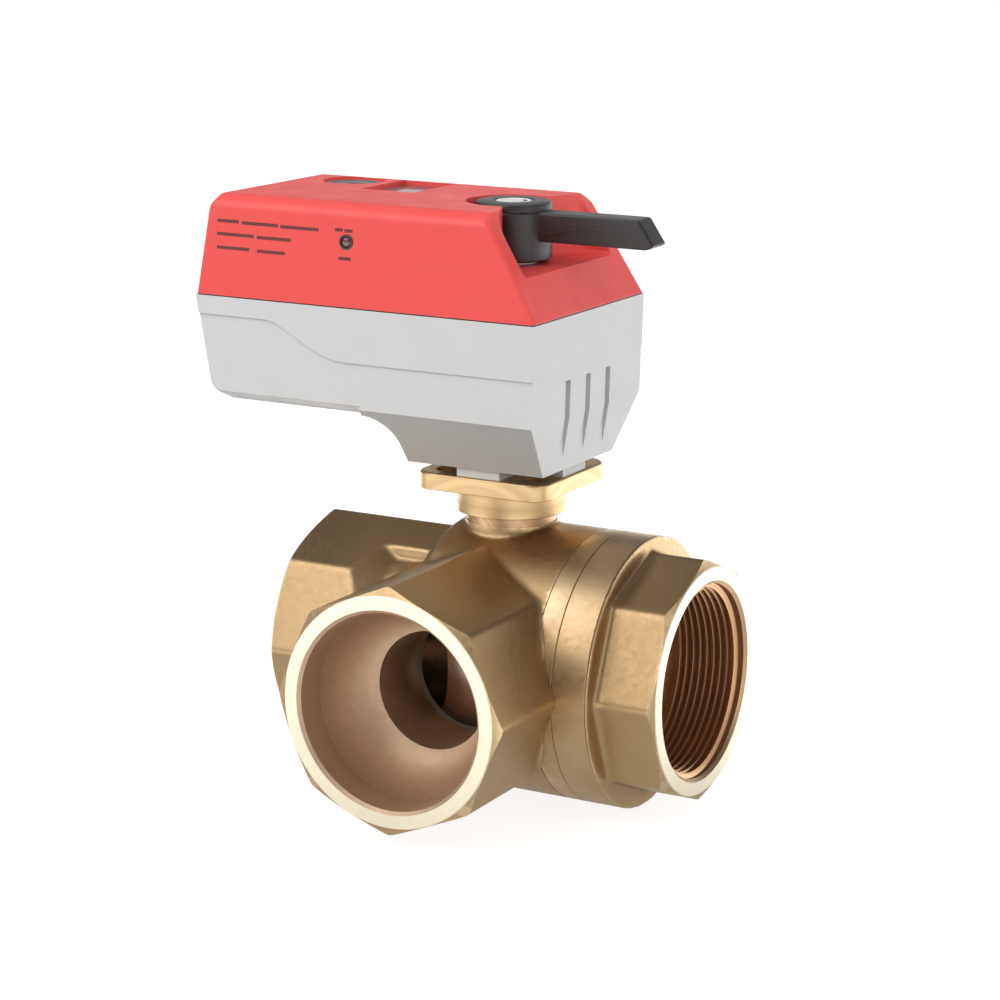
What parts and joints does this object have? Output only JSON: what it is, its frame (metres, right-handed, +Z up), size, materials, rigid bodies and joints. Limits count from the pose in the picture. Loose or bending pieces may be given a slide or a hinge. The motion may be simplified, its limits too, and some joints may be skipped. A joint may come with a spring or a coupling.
{
  "type": "motorised three-way zone valve",
  "caption": "Three-way brass ball valve with two in-line ports and a front branch, turned by a geared motor head with a red cover, hand lever and release button.",
  "frame": {"origin": "centre of the ball, where the line of ports A and B, the branch and the stem meet", "axes": "+Z up the stem to the motor head, +X out of port B on the end cap, -Y out of the branch port AB"},
  "size_m": [0.1655, 0.1173, 0.1829],
  "materials": {
    "cast_brass": "satin shot-blasted casting with turned faces",
    "turned_brass": "fine turned",
    "ball_plating": "dull dark plating",
    "seat_plastic": "carbon-filled grey fluoropolymer",
    "seal_rubber": "moulded",
    "stem_steel": "turned",
    "zinc_steel": "zinc plated",
    "housing_plastic": "fine texture, light grey",
    "cover_plastic": "fine texture, coral red",
    "lever_plastic": "satin black",
    "dial_plastic": "white",
    "button_plastic": "grey",
    "window_plastic": "smoked brown",
    "lens_plastic": "tinted",
    "cross_plastic": "light grey",
    "gear_plastic": "natural acetal",
    "gear_steel": "cut",
    "plate_steel": "stamped",
    "motor_can": "drawn can",
    "board_green": "solder mask",
    "chip_black": "moulded",
    "terminal_plastic": "green",
    "bush_bronze": "sintered"
  },
  "bodies": {
    "root": {"valve_body": "cast_brass", "end_cap": "cast_brass", "branch_retainer": "turned_brass", "mounting_flange": "turned_brass", "gland_nut": "turned_brass", "seat_a": "seat_plastic", "seat_b": "seat_plastic", "seat_branch": "seat_plastic", "end_cap_oring": "seal_rubber", "thrust_washer": "seat_plastic", "stem_packing": "seat_plastic", "foot_cross": "cross_plastic", "locating_dowels": "zinc_steel", "lower_housing": "housing_plastic", "seam_gasket": "seal_rubber", "upper_cover": "cover_plastic", "service_window": "window_plastic", "status_lens": "lens_plastic", "spindle_bush_lower": "bush_bronze", "spindle_bush_upper": "bush_bronze", "motor": "motor_can", "axle_2": "stem_steel", "axle_3": "stem_steel", "gear_plate_lower": "plate_steel", "gear_plate_upper": "plate_steel", "plate_posts": "zinc_steel", "plate_screws": "zinc_steel", "end_stops": "zinc_steel", "circuit_board": "board_green", "board_spacers": "dial_plastic", "control_chip": "chip_black", "board_capacitors": "motor_can", "terminal_block": "terminal_plastic", "mode_switch": "lens_plastic", "cable_grommet": "seal_rubber", "cover_screws": "zinc_steel", "release_spring": "zinc_steel"},
    "drive": {"ball": "ball_plating", "stem": "stem_steel", "stem_orings": "seal_rubber", "drive_sleeve": "stem_steel", "central_screw": "zinc_steel", "sector_gear": "gear_steel", "override_lever": "lever_plastic", "dial_cap": "dial_plastic"},
    "second_gear": {"gear_2": "gear_steel"},
    "third_gear": {"gear_3": "gear_plastic"},
    "rotor": {"motor_pinion": "gear_steel"},
    "release": {"release_button": "button_plastic"}
  },
  "joints": [
    {"name": "shaft_turn", "type": "hinge", "parent": "root", "child": "drive", "pos_m": [0, 0, 0.09], "axis": [0, 0, 1], "range_deg": [-45, 45]},
    {"name": "second_gear_turn", "type": "hinge", "parent": "root", "child": "second_gear", "pos_m": [-0.034, 0, 0.09], "axis": [0, 0, 1], "range_deg": [-176, 176]},
    {"name": "third_gear_turn", "type": "hinge", "parent": "root", "child": "third_gear", "pos_m": [-0.0545, 0.01396, 0.09], "axis": [0, 0, 1], "range_deg": [-600, 600]},
    {"name": "rotor_turn", "type": "hinge", "parent": "root", "child": "rotor", "pos_m": [-0.07003, 0.00267, 0.09], "axis": [0, 0, 1], "range_deg": [-2140, 2140]},
    {"name": "release_press", "type": "slide", "parent": "root", "child": "release", "axis": [0, 0, -1], "range_m": [0, 0.003], "stiffness_N_per_m": 300, "springref_m": -0.001, "deforming": ["release_spring"]}
  ],
  "couplings": [
    {"joint": "second_gear_turn", "follows": "shaft_turn", "ratio": -3.8571},
    {"joint": "third_gear_turn", "follows": "shaft_turn", "ratio": 13.224},
    {"joint": "rotor_turn", "follows": "shaft_turn", "ratio": -47.23}
  ]
}
